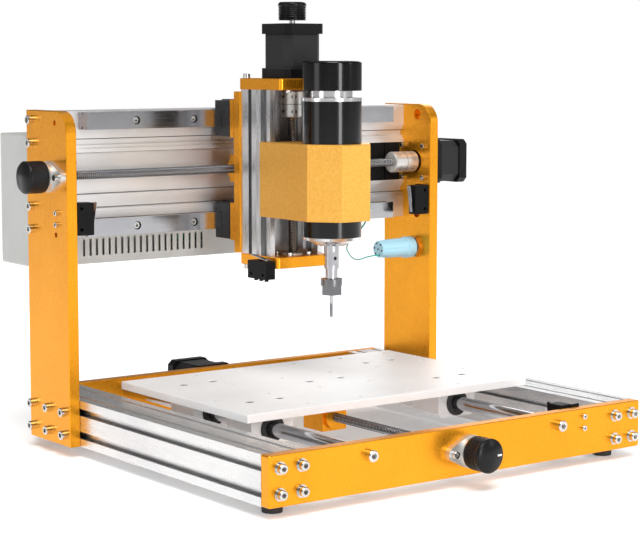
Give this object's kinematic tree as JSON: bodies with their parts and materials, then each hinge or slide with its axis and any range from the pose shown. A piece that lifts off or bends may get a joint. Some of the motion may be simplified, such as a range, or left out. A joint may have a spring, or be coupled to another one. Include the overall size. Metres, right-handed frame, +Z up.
{
  "type": "cnc router",
  "caption": "Desktop CNC router with gantry, moving bed, spindle in a clamp block, lead-screw drives with hand knobs, and a sheet-metal control box behind the gantry.",
  "frame": {"origin": "middle of the footprint, on the surface that the feet stand on", "axes": "+X along the gantry to the motor side, +Y from the front knob to the back, +Z up"},
  "size_m": [0.478, 0.446, 0.391],
  "materials": {
    "front_plate": "gold anodised, satin",
    "back_plate": "gold anodised, satin",
    "left_side_profile": "extruded, clear anodised",
    "right_side_profile": "extruded, clear anodised",
    "rubber_feet": "matt rubber",
    "y_rods": "ground steel",
    "base_screws": "bright plated",
    "left_upright": "gold anodised, satin",
    "right_upright": "gold anodised, satin",
    "gantry_beam": "extruded, clear anodised",
    "beam_end_cover": "black, satin",
    "x_rails": "ground steel",
    "frame_screws": "bright plated",
    "small_screws": "bright plated",
    "x_motor": "black stator with satin end caps",
    "y_motor": "black stator with satin end caps",
    "knob_bearings": "machined",
    "control_box": "light grey sheet metal",
    "control_box_cover": "light grey sheet metal",
    "control_board": "green circuit board",
    "limit_switches": "black moulding",
    "cable_connector": "pale blue moulding",
    "signal_wire": "teal insulated wire",
    "x_carriage_plate": "gold anodised, satin",
    "x_rail_blocks": "blackened steel with black end caps",
    "x_nut_housing": "gold anodised, satin",
    "z_channel": "extruded, clear anodised",
    "z_top_plate": "gold anodised, satin",
    "z_bottom_plate": "gold anodised, satin",
    "z_lower_bearing": "machined",
    "z_rails": "ground steel",
    "z_motor": "black stator with satin end caps",
    "z_frame_screws": "bright plated",
    "z_limit_switch": "black moulding",
    "spindle_clamp": "gold anodised, fine blasted",
    "z_slider": "extruded, clear anodised",
    "clamp_screws": "bright plated",
    "spindle_housing": "black anodised, glossy",
    "spindle_ends": "turned",
    "spindle_cap": "black, satin",
    "spindle_shaft": "ground steel",
    "collet_nut": "ground steel",
    "end_mill": "ground steel",
    "bed_plate": "extruded, clear anodised",
    "bed_bearing_blocks": "extruded, clear anodised",
    "y_nut_housing": "gold anodised, satin",
    "bed_screws": "bright plated",
    "x_lead_screw": "rolled trapezoidal thread",
    "x_coupling": "machined",
    "x_knob": "black anodised, knurled",
    "y_lead_screw": "rolled trapezoidal thread",
    "y_coupling": "machined",
    "y_knob": "black anodised, knurled",
    "z_lead_screw": "rolled trapezoidal thread",
    "z_coupling": "machined",
    "z_knob": "black anodised, knurled",
    "x_left_switch_lever": "spring steel",
    "x_right_switch_lever": "spring steel",
    "y_switch_lever": "spring steel",
    "z_switch_lever": "spring steel"
  },
  "bodies": {
    "base": {"front_plate": "front_plate", "back_plate": "back_plate", "left_side_profile": "left_side_profile", "right_side_profile": "right_side_profile", "rubber_feet": "rubber_feet", "y_rods": "y_rods", "base_screws": "base_screws", "left_upright": "left_upright", "right_upright": "right_upright", "gantry_beam": "gantry_beam", "beam_end_cover": "beam_end_cover", "x_rails": "x_rails", "frame_screws": "frame_screws", "small_screws": "small_screws", "x_motor": "x_motor", "y_motor": "y_motor", "knob_bearings": "knob_bearings", "control_box": "control_box", "control_box_cover": "control_box_cover", "control_board": "control_board", "limit_switches": "limit_switches", "cable_connector": "cable_connector", "signal_wire": "signal_wire"},
    "x_carriage": {"x_carriage_plate": "x_carriage_plate", "x_rail_blocks": "x_rail_blocks", "x_nut_housing": "x_nut_housing", "z_channel": "z_channel", "z_top_plate": "z_top_plate", "z_bottom_plate": "z_bottom_plate", "z_lower_bearing": "z_lower_bearing", "z_rails": "z_rails", "z_motor": "z_motor", "z_frame_screws": "z_frame_screws", "z_limit_switch": "z_limit_switch"},
    "z_carriage": {"spindle_clamp": "spindle_clamp", "z_slider": "z_slider", "clamp_screws": "clamp_screws", "spindle_housing": "spindle_housing", "spindle_ends": "spindle_ends", "spindle_cap": "spindle_cap"},
    "spindle_rotor": {"spindle_shaft": "spindle_shaft", "collet_nut": "collet_nut", "end_mill": "end_mill"},
    "bed": {"bed_plate": "bed_plate", "bed_bearing_blocks": "bed_bearing_blocks", "y_nut_housing": "y_nut_housing", "bed_screws": "bed_screws"},
    "x_screw": {"x_lead_screw": "x_lead_screw", "x_coupling": "x_coupling", "x_knob": "x_knob"},
    "y_screw": {"y_lead_screw": "y_lead_screw", "y_coupling": "y_coupling", "y_knob": "y_knob"},
    "z_screw": {"z_lead_screw": "z_lead_screw", "z_coupling": "z_coupling", "z_knob": "z_knob"},
    "x_left_lever": {"x_left_switch_lever": "x_left_switch_lever"},
    "x_right_lever": {"x_right_switch_lever": "x_right_switch_lever"},
    "y_lever": {"y_switch_lever": "y_switch_lever"},
    "z_lever": {"z_switch_lever": "z_switch_lever"}
  },
  "joints": [
    {"name": "x_slide", "type": "slide", "parent": "base", "child": "x_carriage", "axis": [1, 0, 0], "range_m": [-0.138, 0.138], "deforming": ["signal_wire"]},
    {"name": "y_slide", "type": "slide", "parent": "base", "child": "bed", "axis": [0, 1, 0], "range_m": [-0.095, 0.1]},
    {"name": "z_slide", "type": "slide", "parent": "x_carriage", "child": "z_carriage", "axis": [0, 0, 1], "range_m": [-0.031, 0.04]},
    {"name": "spindle_spin", "type": "hinge", "parent": "z_carriage", "child": "spindle_rotor", "pos_m": [-0.006, -0.013, 0.25], "axis": [0, 0, 1], "continuous": true},
    {"name": "x_screw_turn", "type": "hinge", "parent": "base", "child": "x_screw", "pos_m": [-0.006, 0.112, 0.241], "axis": [1, 0, 0], "range_deg": [-6300, 6300]},
    {"name": "y_screw_turn", "type": "hinge", "parent": "base", "child": "y_screw", "pos_m": [-0.006, -0.015, 0.029], "axis": [0, 1, 0], "range_deg": [-4600, 4600]},
    {"name": "z_screw_turn", "type": "hinge", "parent": "x_carriage", "child": "z_screw", "pos_m": [-0.006, 0.045, 0.24], "axis": [0, 0, 1], "range_deg": [-1900, 1900]},
    {"name": "x_left_switch_press", "type": "hinge", "parent": "base", "child": "x_left_lever", "pos_m": [-0.1831, 0.0935, 0.194], "axis": [0, 1, 0], "range_deg": [-7, 0], "stiffness_Nm_per_rad": 0.02},
    {"name": "x_right_switch_press", "type": "hinge", "parent": "base", "child": "x_right_lever", "pos_m": [0.1711, 0.0935, 0.194], "axis": [0, -1, 0], "range_deg": [-7, 0], "stiffness_Nm_per_rad": 0.02},
    {"name": "y_switch_press", "type": "hinge", "parent": "base", "child": "y_lever", "pos_m": [0.112, -0.1671, 0.0265], "axis": [-1, 0, 0], "range_deg": [-7, 0], "stiffness_Nm_per_rad": 0.02},
    {"name": "z_switch_press", "type": "hinge", "parent": "x_carriage", "child": "z_lever", "pos_m": [-0.04, 0.034, 0.1644], "axis": [1, 0, 0], "range_deg": [-7, 0], "stiffness_Nm_per_rad": 0.02}
  ],
  "couplings": [
    {"joint": "x_screw_turn", "follows": "x_slide", "rad_per_m": -785.4},
    {"joint": "y_screw_turn", "follows": "y_slide", "rad_per_m": -785.4},
    {"joint": "z_screw_turn", "follows": "z_slide", "rad_per_m": -785.4}
  ]
}
